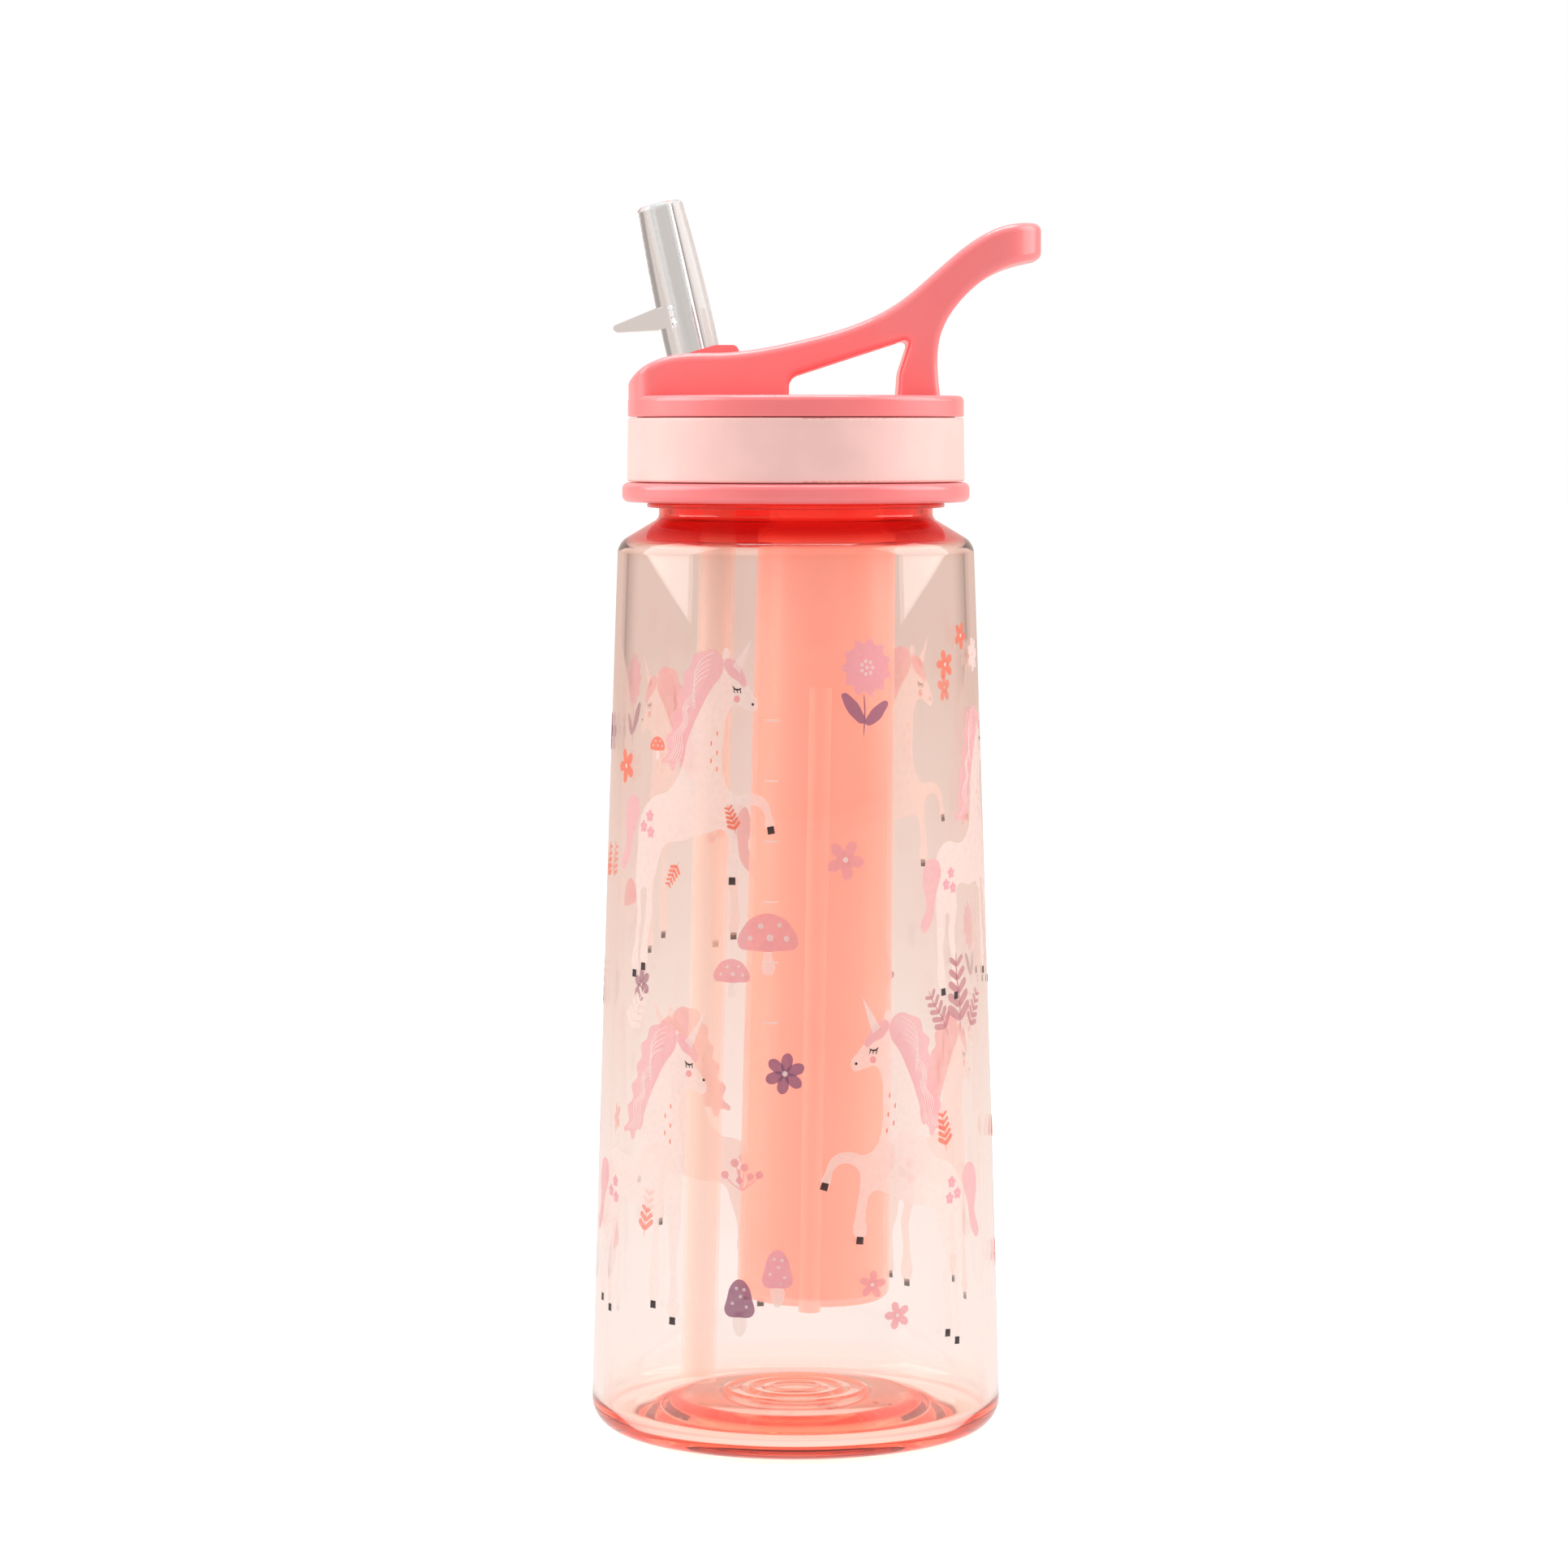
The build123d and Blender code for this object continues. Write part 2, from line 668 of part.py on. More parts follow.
with BuildPart() as ice_gel:
    with BuildSketch(half_section(stick_plane)):
        with BuildLine():
            inset = stick_wall + gel_gap
            foot_line = stick_foot + inset
            level = shoulder_foot - gel_level
            share = (level - foot_line) / (shoulder_foot - foot_line)
            level_radius = stick_foot_radius - (stick_foot_radius - stick_top_radius) * share - inset
            gel_side = FilletPolyline(
                (0, foot_line),
                (stick_foot_radius - inset, foot_line),
                (level_radius, level),
                (0, level),
                radius=(stick_foot_corner - 0.7 * inset, 0.8),
            )
            Line(gel_side @ 1, gel_side @ 0)
        make_face()
    revolve(axis=stick_line)
ice_gel.part.label = "ice_gel"


for piece in (
    bottle_body,
    lid_gasket,
    screw_cap,
    grip_band,
    top_cover,
    spout_cradle,
    spout_seal,
    spout,
    straw_boot,
    straw,
    vent_valve,
    ice_stick_tube,
    ice_stick_plug,
    ice_stick_ring,
    ice_gel,
):
    export_step(piece.part, f"parts/{piece.part.label}.step")
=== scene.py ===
from math import cos, hypot, pi, radians, sin, tan

import bmesh
import bpy
from mathutils import Matrix, Vector


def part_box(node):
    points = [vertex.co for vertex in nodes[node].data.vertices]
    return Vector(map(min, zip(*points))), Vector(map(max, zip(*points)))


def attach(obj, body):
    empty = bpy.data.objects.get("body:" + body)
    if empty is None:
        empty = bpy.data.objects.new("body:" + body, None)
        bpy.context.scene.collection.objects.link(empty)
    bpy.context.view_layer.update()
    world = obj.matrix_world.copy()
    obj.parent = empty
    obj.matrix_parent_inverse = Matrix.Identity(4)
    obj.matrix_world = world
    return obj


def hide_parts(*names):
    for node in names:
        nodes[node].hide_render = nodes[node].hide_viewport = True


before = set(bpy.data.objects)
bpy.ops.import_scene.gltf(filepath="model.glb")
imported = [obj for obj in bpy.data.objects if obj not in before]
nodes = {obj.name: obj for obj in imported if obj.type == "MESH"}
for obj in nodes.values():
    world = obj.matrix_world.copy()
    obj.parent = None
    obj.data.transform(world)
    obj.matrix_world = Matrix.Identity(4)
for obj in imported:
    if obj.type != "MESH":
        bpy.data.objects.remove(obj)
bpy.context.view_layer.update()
scene = bpy.context.scene

# Camera: a long lens a little under the lid's height, tipped down to the foot.
camera_data = bpy.data.cameras.new("camera")
camera_data.lens = 107.7
camera_data.sensor_width = 36
camera_data.clip_start = 0.05
camera = bpy.data.objects.new("camera", camera_data)
camera.location = (-0.0024, -0.9506, 0.2028)
camera.rotation_euler = (radians(90 - 4.314), 0, 0)
scene.collection.objects.link(camera)
scene.camera = camera


# Studio: a white sweep of floor in a white room. What the clear plastic bends and mirrors is a
# plain warm-grey room with darker side walls, so that its edges draw themselves.
def material_of(name):
    """A fresh material, its node tree and its shader."""
    material = bpy.data.materials.new(name)
    material.use_nodes = True
    return material, material.node_tree, material.node_tree.nodes["Principled BSDF"]


def node(tree, kind, **settings):
    """One node with its properties set, and with any input given by name set too."""
    made = tree.nodes.new(kind)
    for key, value in settings.items():
        if hasattr(made, key):
            setattr(made, key, value)
        else:
            made.inputs[key.replace("_", " ")].default_value = value
    return made


def color_ramp(tree, value, stops):
    """A colour ramp read by value, from a list of (place, colour)."""
    ramp = tree.nodes.new("ShaderNodeValToRGB")
    while len(ramp.color_ramp.elements) < len(stops):
        ramp.color_ramp.elements.new(1)
    for element, (place, color) in zip(ramp.color_ramp.elements, stops):
        element.position = place
        element.color = (*color, 1)
    tree.links.new(value, ramp.inputs["Fac"])
    return ramp.outputs["Color"]


def map_range(tree, value, low, high, to_low=0.0, to_high=1.0, steps="SMOOTHSTEP"):
    """Value taken from low..high to to_low..to_high, held at the ends."""
    made = node(tree, "ShaderNodeMapRange", interpolation_type=steps)
    for socket, number in zip(("From Min", "From Max", "To Min", "To Max"), (low, high, to_low, to_high)):
        made.inputs[socket].default_value = number
    tree.links.new(value, made.inputs["Value"])
    return made.outputs[0]


def mix_color(tree, share, first, second):
    """First colour at share 0 and second at 1; each is a colour or a socket."""
    made = node(tree, "ShaderNodeMix", data_type="RGBA")
    sockets = made.inputs["Factor"], made.inputs[6], made.inputs[7]
    for socket, value in zip(sockets, (share, first, second)):
        if isinstance(value, bpy.types.NodeSocket):
            tree.links.new(value, socket)
        else:
            socket.default_value = (*value, 1) if isinstance(value, tuple) else value
    return made.outputs[2]


def object_place(tree):
    """Where a point is on its own piece."""
    return tree.nodes.new("ShaderNodeTexCoord").outputs["Object"]


def light_path(tree, kind):
    return tree.nodes.new("ShaderNodeLightPath").outputs[kind]


def length_of(tree, vector):
    made = node(tree, "ShaderNodeVectorMath", operation="LENGTH")
    tree.links.new(vector, made.inputs[0])
    return made.outputs["Value"]


def mix_shader(tree, share, first, second):
    """First shader at share 0 and second at 1; share is a number or a socket."""
    made = tree.nodes.new("ShaderNodeMixShader")
    if isinstance(share, bpy.types.NodeSocket):
        tree.links.new(share, made.inputs[0])
    else:
        made.inputs[0].default_value = share
    tree.links.new(first.outputs[0], made.inputs[1])
    tree.links.new(second.outputs[0], made.inputs[2])
    return made


def show(tree, shader):
    tree.links.new(shader.outputs[0], tree.nodes["Material Output"].inputs["Surface"])


room_haze = (0.79, 0.66, 0.60)
room_front = (0.38, 0.36, 0.35)
room_flags = (0.12, 0.11, 0.11)
ceiling = (0.95, 0.94, 0.93)
paper_white = (1.03, 1.02, 1.01)

world = bpy.data.worlds.new("studio")
world.use_nodes = True
scene.world = world
room = world.node_tree
direction = room.nodes.new("ShaderNodeSeparateXYZ")
room.links.new(room.nodes.new("ShaderNodeTexCoord").outputs["Generated"], direction.inputs[0])
depth = map_range(room, direction.outputs["Y"], -0.75, 0.1)
walls = mix_color(room, depth, room_front, room_haze)
walls = mix_color(room, map_range(room, direction.outputs["Z"], 0.1, 0.8), walls, ceiling)
aside = node(room, "ShaderNodeMath", operation="ABSOLUTE")
room.links.new(direction.outputs["X"], aside.inputs[0])
black, white = (0.0, 0.0, 0.0), (1.0, 1.0, 1.0)
flags = color_ramp(room, aside.outputs[0], [(0.5, black), (0.6, white), (0.74, white), (0.82, black)])
flag_strength = 0.6
walls = mix_color(room, map_range(room, flags, 0, 1, 0, flag_strength), walls, room_flags)
seen = mix_color(room, light_path(room, "Is Camera Ray"), walls, white)
room.links.new(seen, room.nodes["Background"].inputs["Color"])

floor_half = 12.0
floor_gap = 0.0003
sweep_reach = 4
floor_mesh = bmesh.new()
bmesh.ops.create_grid(floor_mesh, x_segments=8, y_segments=8, size=floor_half)
bmesh.ops.translate(floor_mesh, verts=floor_mesh.verts, vec=(0, 0, -floor_gap))
floor_data = bpy.data.meshes.new("floor")
floor_mesh.to_mesh(floor_data)
floor_mesh.free()
floor = bpy.data.objects.new("floor", floor_data)
scene.collection.objects.link(floor)
floor_paint, floor_tree, floor_shader = material_of("white_floor")
floor_shader.inputs["Base Color"].default_value = (0.93, 0.93, 0.93, 1)
floor_shader.inputs["Roughness"].default_value = 0.7
floor_shader.inputs["Specular IOR Level"].default_value = 0.1
floor_shader.inputs["Emission Color"].default_value = (1, 1, 1, 1)
floor_shader.inputs["Emission Strength"].default_value = 0.35
# What the clear plastic mirrors of the floor: white near the bottle, fading to the walls' colour
glow = node(floor_tree, "ShaderNodeEmission")
far = length_of(floor_tree, object_place(floor_tree))
sweep = color_ramp(
    floor_tree,
    map_range(floor_tree, far, 0, sweep_reach, steps="LINEAR"),
    [(0, paper_white), (0.04, paper_white), (0.25, (0.92, 0.81, 0.76)), (1, room_haze)],
)
floor_tree.links.new(sweep, glow.inputs["Color"])
show(floor_tree, mix_shader(floor_tree, light_path(floor_tree, "Is Camera Ray"), glow, floor_shader))
floor_data.materials.append(floor_paint)


def softbox(name, place, aim, size, power):
    """A tall soft lamp at place, turned to aim."""
    lamp = bpy.data.lights.new(name, "AREA")
    lamp.shape = "RECTANGLE"
    lamp.size, lamp.size_y = size
    lamp.energy = power
    holder = bpy.data.objects.new(name, lamp)
    holder.location = place
    holder.rotation_euler = (Vector(aim) - Vector(place)).to_track_quat("-Z", "Y").to_euler()
    scene.collection.objects.link(holder)


bottle_middle = (0, 0, 0.2)
side_size, side_power = (0.9, 0.95), 7.5
softbox("left_softbox", (-0.95, 0.05, 0.67), bottle_middle, side_size, side_power)
softbox("right_softbox", (0.95, 0.05, 0.67), bottle_middle, side_size, side_power)
softbox("top_softbox", (0, 0.1, 1.2), bottle_middle, (0.8, 0.5), 8)

# Light crosses many clear walls here, so it is followed for longer than usual
clear_bounces = 24
scene.view_settings.view_transform = "Standard"
scene.cycles.transparent_max_bounces = clear_bounces
scene.cycles.max_bounces = clear_bounces
scene.cycles.transmission_bounces = clear_bounces
scene.cycles.glossy_bounces = clear_bounces // 2


# Bottle: one blown shell of clear peach-tinted plastic, with a pushed-up foot, a shoulder, a bead
# and a screw neck. Its half outline is rounded at the corners and spun; the thread is wound on.
foot_radius, foot_corner = 0.04192, 0.0057
middle_radius, middle_height, side_round = 0.0391, 0.0929, 12
shoulder_radius, shoulder_height, shoulder_round = 0.0360, 0.1801, 0.0036
neck_radius, neck_foot, neck_round = 0.0277, 0.185087, 0.0016
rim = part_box("bottle_body")[1].z
wall = 0.0022
floor_thickness = 0.0032
punt_radius = 0.0268
punt_step, punt_rise = 0.0028, 0.0014
punt_rings = (0.0047, 0.0091, 0.0139)
ring_half_width, ring_height = 0.0007, 0.00045
neck_wall = 0.0028
bead_radius, bead_thickness, bead_round, bead_gap = 0.0301, 0.0009, 0.0003, 0.00025
bead_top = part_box("screw_cap")[0].z - bead_gap
turn_steps = 192
corner_step = radians(7)


def outline(points):
    """A bmesh wire in the XZ plane through (radius, height, corner radius) points, corners rounded."""
    mesh = bmesh.new()
    corners = [mesh.verts.new((radius, 0, height)) for radius, height, _ in points]
    for start, end in zip(corners, corners[1:]):
        mesh.edges.new((start, end))
    places = [Vector((radius, 0, height)) for radius, height, _ in points]
    for index, (corner, (_, _, rounding)) in enumerate(zip(corners, points)):
        if rounding:
            before = places[index] - places[index - 1]
            after = places[index + 1] - places[index]
            turn = before.angle(after)
            bmesh.ops.bevel(
                mesh,
                geom=[corner],
                offset=rounding * tan(turn / 2),
                offset_type="OFFSET",
                segments=max(3, round(turn / corner_step)),
                affect="VERTICES",
                profile=0.5,
                material=-1,
            )
    return mesh


def new_piece(name, mesh, material, body, crease=40):
    """Turns a bmesh into a smooth piece that rides on a body, and keeps edges sharper than crease."""
    data = bpy.data.meshes.new(name)
    mesh.to_mesh(data)
    mesh.free()
    data.materials.append(material)
    data.shade_smooth()
    data.set_sharp_from_angle(angle=radians(crease))
    piece = bpy.data.objects.new(name, data)
    scene.collection.objects.link(piece)
    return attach(piece, body)


def shell_points(inset, floor_height, neck_line, top, top_round):
    """Half outline of the shell, or of its hollow when inset, from the axis out and up to the rim.
    The push-up steps down sharply under the floor, and falls away gently inside."""
    step = punt_radius + inset / 2 - wall / 2
    fall = 5 * inset
    floor_round = 0.0008 + fall / 2
    return [
        (0, floor_height + punt_step + punt_rise, 0),
        (step * 0.6, floor_height + punt_step + punt_rise * 0.7, 0.02),
        (step - 0.0005 - fall / 4, floor_height + punt_step, floor_round),
        (step + 0.0007 + fall / 2, floor_height, floor_round),
        (foot_radius - inset, floor_height, foot_corner - inset),
        (middle_radius - inset, middle_height, side_round),
        (shoulder_radius - inset, shoulder_height - inset / 4, max(shoulder_round - inset, 0.0012)),
        (neck_line, neck_foot - inset / 4, neck_round),
        (neck_line, top, top_round),
    ]


outside = shell_points(0, 0, neck_radius, rim, neck_wall / 4)
bead = [
    (neck_radius, bead_top - bead_thickness, 0),
    (bead_radius, bead_top - bead_thickness, bead_round),
    (bead_radius, bead_top, bead_round),
    (neck_radius, bead_top, 0),
]
inside = shell_points(wall, floor_thickness, neck_radius - neck_wall, rim, neck_wall / 4)
low_rings = []
for ring_radius in punt_rings:
    ring_foot = inside[0][1] - 0.5 * punt_rise * ring_radius / punt_radius
    low_rings += [
        (ring_radius - ring_half_width, ring_foot, 0),
        (ring_radius, ring_foot + ring_height, 0.0004),
        (ring_radius + ring_half_width, ring_foot, 0),
    ]
hollow = inside[:1] + low_rings + inside[1:]
shell = outline(outside[:-1] + bead + outside[-1:] + hollow[:0:-1] + hollow[:1])
bmesh.ops.spin(
    shell,
    geom=shell.verts[:] + shell.edges[:],
    cent=(0, 0, 0),
    axis=(0, 0, 1),
    angle=2 * pi,
    steps=turn_steps,
    use_merge=True,
)
bmesh.ops.remove_doubles(shell, verts=shell.verts, dist=1e-7)
bmesh.ops.recalc_face_normals(shell, faces=shell.faces)


def tinted_plastic(name, tint, density, surface=(1, 1, 1)):
    """Clear plastic whose colour deepens with the way light goes through it. Lamps shine through."""
    material, tree, shader = material_of(name)
    shader.inputs["Base Color"].default_value = (*surface, 1)
    shader.inputs["Roughness"].default_value = 0.02
    shader.inputs["IOR"].default_value = 1.47
    shader.inputs["Transmission Weight"].default_value = 1
    clear = node(tree, "ShaderNodeBsdfTransparent", Color=(0.97, 0.93, 0.91, 1))
    show(tree, mix_shader(tree, light_path(tree, "Is Shadow Ray"), shader, clear))
    if density:
        absorption = tree.nodes.new("ShaderNodeVolumeAbsorption")
        absorption.inputs["Color"].default_value = (*tint, 1)
        absorption.inputs["Density"].default_value = density
        tree.links.new(absorption.outputs[0], tree.nodes["Material Output"].inputs["Volume"])
    return material


# The shell's painted colour by height: a painted red reflection in its colour and a painted red glow where
# it is thick at the foot's edge and round the neck, standing in for the coral lid and the light caught in
# the curved plastic
peach_shell = tinted_plastic("peach_shell", (0.89, 0.31, 0.05), 52)
tree = peach_shell.node_tree
level = tree.nodes.new("ShaderNodeSeparateXYZ")
tree.links.new(object_place(tree), level.inputs[0])
painted_ramp_top = 0.2
share_of_height = map_range(tree, level.outputs["Z"], 0, painted_ramp_top, steps="LINEAR")
# Painted reflection: deep red put into the shell's colour at the foot's edge and round the neck
painted_red_reflection = color_ramp(
    tree,
    share_of_height,
    [
        (0, (0.50, 0.02, 0.015)),
        (0.004, (0.78, 0.12, 0.08)),
        (0.009, (1.0, 0.60, 0.50)),
        (0.014, (1.0, 0.86, 0.80)),
        (0.03, (1.0, 0.96, 0.93)),
        (0.05, white),
        (0.885, white),
        (0.899, (1.0, 0.84, 0.78)),
        (0.905, (0.90, 0.14, 0.10)),
        (0.915, (0.55, 0.015, 0.015)),
        (0.922, (0.70, 0.03, 0.025)),
        (0.930, (0.98, 0.14, 0.10)),
        (0.938, (0.92, 0.09, 0.07)),
        (0.944, (0.78, 0.05, 0.045)),
    ],
)
# Painted glow: red light given off by the shell at the foot's edge and round the neck
painted_edge_glow = color_ramp(
    tree,
    share_of_height,
    [
        (0, (0.50, 0.01, 0.005)),
        (0.006, (0.35, 0.02, 0.01)),
        (0.014, (0.08, 0.01, 0.01)),
        (0.025, black),
        (0.89, black),
        (0.905, (0.20, 0.01, 0.01)),
        (0.918, (0.35, 0.01, 0.01)),
        (0.935, (0.25, 0.02, 0.01)),
        (1, (0.20, 0.02, 0.01)),
    ],
)

# And by distance from the axis in the foot: a painted red ring at the push-up's step, salmon round it,
# with a painted glow, standing in for light bent through the thick foot
flat_place = node(tree, "ShaderNodeVectorMath", operation="MULTIPLY")
flat_place.inputs[1].default_value = (1, 1, 0)
tree.links.new(object_place(tree), flat_place.inputs[0])
from_axis = length_of(tree, flat_place.outputs[0])
foot_edge = 0.042
share_of_radius = map_range(tree, from_axis, 0, foot_edge, steps="LINEAR")
painted_foot_rings = color_ramp(
    tree,
    share_of_radius,
    [
        (0, (1.0, 0.84, 0.77)),
        (0.53, (1.0, 0.80, 0.72)),
        (0.585, (1.0, 0.14, 0.05)),
        (0.65, (0.98, 0.10, 0.035)),
        (0.69, (1.0, 0.82, 0.74)),
        (0.88, (1.0, 0.90, 0.85)),
        (0.94, (1.0, 0.96, 0.93)),
    ],
)
# Painted glow in the foot, strongest at the red ring
painted_foot_glow = color_ramp(
    tree,
    share_of_radius,
    [
        (0, (0.22, 0.09, 0.07)),
        (0.53, (0.26, 0.07, 0.04)),
        (0.585, (0.75, 0.05, 0.015)),
        (0.65, (0.75, 0.04, 0.01)),
        (0.69, (0.26, 0.10, 0.07)),
        (0.88, (0.22, 0.11, 0.09)),
        (0.94, (0.12, 0.04, 0.03)),
    ],
)
near_foot = node(tree, "ShaderNodeMath", operation="MULTIPLY")
tree.links.new(map_range(tree, level.outputs["Z"], 0.0075, 0.0095, 1, 0), near_foot.inputs[0])
tree.links.new(map_range(tree, from_axis, 0.0385, 0.0405, 1, 0), near_foot.inputs[1])
painted_red_reflection = mix_color(tree, near_foot.outputs[0], painted_red_reflection, painted_foot_rings)
painted_edge_glow = mix_color(tree, near_foot.outputs[0], painted_edge_glow, painted_foot_glow)
shader = tree.nodes["Principled BSDF"]
# The painted red reflection goes into the shell's colour, and the painted glow makes the shell give off
# light though it is no lamp
tree.links.new(painted_red_reflection, shader.inputs["Base Color"])
tree.links.new(painted_edge_glow, shader.inputs["Emission Color"])
shader.inputs["Emission Strength"].default_value = 0.22
bottle = new_piece("bottle_shell", shell, peach_shell, "bottle", crease=50)
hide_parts("bottle_body")

# One thread ridge, wound a turn and a quarter up the neck
thread = bmesh.new()
thread_foot = rim - 0.0096
thread_turns, thread_pitch, thread_steps = 1.25, 0.0045, 160
root_radius, root_half = neck_radius - 0.0003, 0.00115
crest_radius, crest_half = neck_radius + 0.0017, 0.0005
section = [
    (root_radius, thread_foot - root_half),
    (crest_radius, thread_foot - crest_half),
    (crest_radius, thread_foot + crest_half),
    (root_radius, thread_foot + root_half),
]
thread.faces.new([thread.verts.new((radius, 0, height)) for radius, height in section])
bmesh.ops.spin(
    thread,
    geom=thread.verts[:] + thread.edges[:] + thread.faces[:],
    cent=(0, 0, 0),
    axis=(0, 0, 1),
    dvec=(0, 0, thread_pitch * thread_turns / thread_steps),
    angle=2 * pi * thread_turns,
    steps=thread_steps,
)
bmesh.ops.recalc_face_normals(thread, faces=thread.faces)
ridge = new_piece("neck_thread", thread, peach_shell, "bottle", crease=30)


# Prints: thin coats of semi-opaque ink on the outside of the wall, a meadow of prancing and standing
# unicorns, flowers, toadstools and sprigs. Each shape is a closed curve, filled flat, cut into
# strips and wrapped round the taper; every ink is one coat.
mm = 0.001
print_radius = 0.040
strip_width, strip_height = 0.002, 0.012
curve_steps = 4
coats = {}


def wall_radius(height):
    """Outer radius of the tapered wall at a height."""
    if height < middle_height:
        share = height / middle_height
        return foot_radius + (middle_radius - foot_radius) * share
    share = (height - middle_height) / (shoulder_height - middle_height)
    return middle_radius + (shoulder_radius - middle_radius) * share


def stamp(ink, points, spot, sharp=False):
    """Adds the filled closed curve through points, in mm, to an ink's coat at a spot on the flat print."""
    curve = bpy.data.curves.new("shape", "CURVE")
    curve.dimensions = "2D"
    curve.fill_mode = "BOTH"
    curve.resolution_u = 1 if sharp else curve_steps
    spline = curve.splines.new("BEZIER")
    spline.bezier_points.add(len(points) - 1)
    spline.use_cyclic_u = True
    for knot, (x, y) in zip(spline.bezier_points, points):
        knot.co = (x * mm, y * mm, 0)
        knot.handle_left_type = knot.handle_right_type = "VECTOR" if sharp else "AUTO"
    holder = bpy.data.objects.new("shape", curve)
    flat = bpy.data.meshes.new_from_object(holder)
    flat.transform(spot)
    if ink not in coats:
        coats[ink] = bmesh.new()
    coats[ink].from_mesh(flat)
    bpy.data.objects.remove(holder)
    bpy.data.curves.remove(curve)
    bpy.data.meshes.remove(flat)


def at(turn, height, size=1.0, tilt=0.0, flip=1):
    """A spot on the flat print: degrees round from the front, height in mm, size, tilt and mirror."""
    place = Matrix.Translation((radians(turn) * print_radius, height * mm, 0))
    return place @ Matrix.Rotation(radians(tilt), 4, "Z") @ Matrix.Diagonal((flip * size, size, 1, 1))


def moved(x, y, turn=0.0):
    return Matrix.Translation((x * mm, y * mm, 0)) @ Matrix.Rotation(radians(turn), 4, "Z")


def line(ink, points, spot, width=0.3):
    """A brush line through points that thins out at both ends."""
    left, right = [], []
    for index, (x, y) in enumerate(points):
        x0, y0 = points[max(index - 1, 0)]
        x1, y1 = points[min(index + 1, len(points) - 1)]
        length = hypot(x1 - x0, y1 - y0)
        half = width / 2 * (0.25 if index in (0, len(points) - 1) else 1)
        left.append((x - (y1 - y0) / length * half, y + (x1 - x0) / length * half))
        right.append((x + (y1 - y0) / length * half, y - (x1 - x0) / length * half))
    stamp(ink, left + right[::-1], spot)


def dot(ink, x, y, radius, spot):
    stamp(ink, [(x + radius, y), (x, y + radius), (x - radius, y), (x, y - radius)], spot)


def petals(ink, count, length, width, spot, start=0.25):
    """Petals of a flower round its centre, each one leaf-shaped."""
    shoulder, tip = length * 0.6, width * 0.22
    leaf = [(0, start), (width / 2, shoulder), (tip, length), (-tip, length), (-width / 2, shoulder)]
    for index in range(count):
        stamp(ink, leaf, spot @ moved(0, 0, 360 * index / count))


def toadstool(cap, spot):
    """A round toadstool with a pale stem and a spotted cap."""
    stem = [(-0.8, -4.2), (-0.6, -1), (-0.9, 0.6), (0.9, 0.6), (0.7, -1), (1.1, -4.2), (0, -4.6)]
    half_cap = [(1.6, 5.2), (4.2, 3.2), (5, 0), (2.6, -0.6)]
    dots = ((-3, 1.4, 0.45), (-1.2, 3.4, 0.5), (0.4, 1.5, 0.6), (2, 3.6, 0.4), (3.2, 1.4, 0.5))
    stamp("white", stem, spot)
    stamp(cap, [(-x, y) for x, y in half_cap[2::-1]] + half_cap + [(-2.6, -0.6)], spot)
    for x, y, radius in dots:
        dot("chalk", x, y, radius, spot)


def bell(cap, spot):
    """A tall narrow toadstool with a bell-shaped cap."""
    stamp("white", [(-0.6, -4), (-0.7, 0.4), (0.7, 0.4), (0.7, -4), (0, -4.3)], spot)
    half_cap = [(1.4, 6.2), (2.5, 3.2), (2.7, 0)]
    stamp(cap, [(-x, y) for x, y in half_cap[::-1]] + [(0, 7)] + half_cap + [(0, -0.5)], spot)
    for x, y in ((-1.4, 2.2), (0.2, 3.6), (1.4, 1.6), (-0.6, 5.2), (0.9, 5)):
        dot("chalk", x, y, 0.35, spot)


def sprig(ink, spot):
    """A stem with pairs of small leaves."""
    pairs, length = 5, 11.0
    line(ink, [(0, 0), (0.4, length * 0.4), (0, length * 0.8), (0.2, length + 1)], spot, 0.35)
    for index in range(pairs):
        y = length * (index + 1) / (pairs + 0.5)
        reach = 3.0 - 1.5 * index / pairs
        for way in (-1, 1):
            side = way * reach
            leaf = [(0, 0), (side * 0.5, reach * 0.15), (side, reach * 0.75), (side * 0.35, reach * 0.6)]
            stamp(ink, leaf, spot @ moved(0.2, y))


prancing = [
    (8.6, 27.6), (9.9, 30.4), (11.0, 27.4), (13.3, 25.0), (15.8, 21.6), (17.0, 19.4), (16.2, 18.0),
    (14.0, 18.6), (11.8, 19.2), (10.2, 17.2), (9.5, 12.5), (9.2, 7.5), (10.2, 3.4), (12.4, 1.6),
    (15.4, 2.0), (18.6, 1.0), (20.0, -2.2), (20.4, -4.8), (19.2, -5.0), (18.5, -2.0), (16.9, -0.4),
    (13.6, -1.2), (12.8, -4.4), (13.1, -9.5), (12.5, -15.0), (11.2, -15.0), (11.1, -9.5),
    (10.0, -5.5), (6.0, -6.0), (0.0, -7.8), (-4.8, -8.8), (-6.8, -13.0), (-8.4, -19.0),
    (-8.2, -22.5), (-9.4, -28.0), (-9.8, -33.0), (-11.1, -33.0), (-10.9, -27.0), (-10.2, -22.0),
    (-10.9, -17.5), (-11.7, -24.0), (-12.5, -30.0), (-12.8, -34.6), (-14.1, -34.6), (-13.7, -28.0),
    (-13.1, -22.5), (-13.9, -17.0), (-13.6, -10.0), (-12.8, -4.0), (-9.0, 0.2), (-4.0, 2.0),
    (-0.9, 6.0), (0.8, 13.0), (2.8, 20.0), (5.6, 25.0),
]
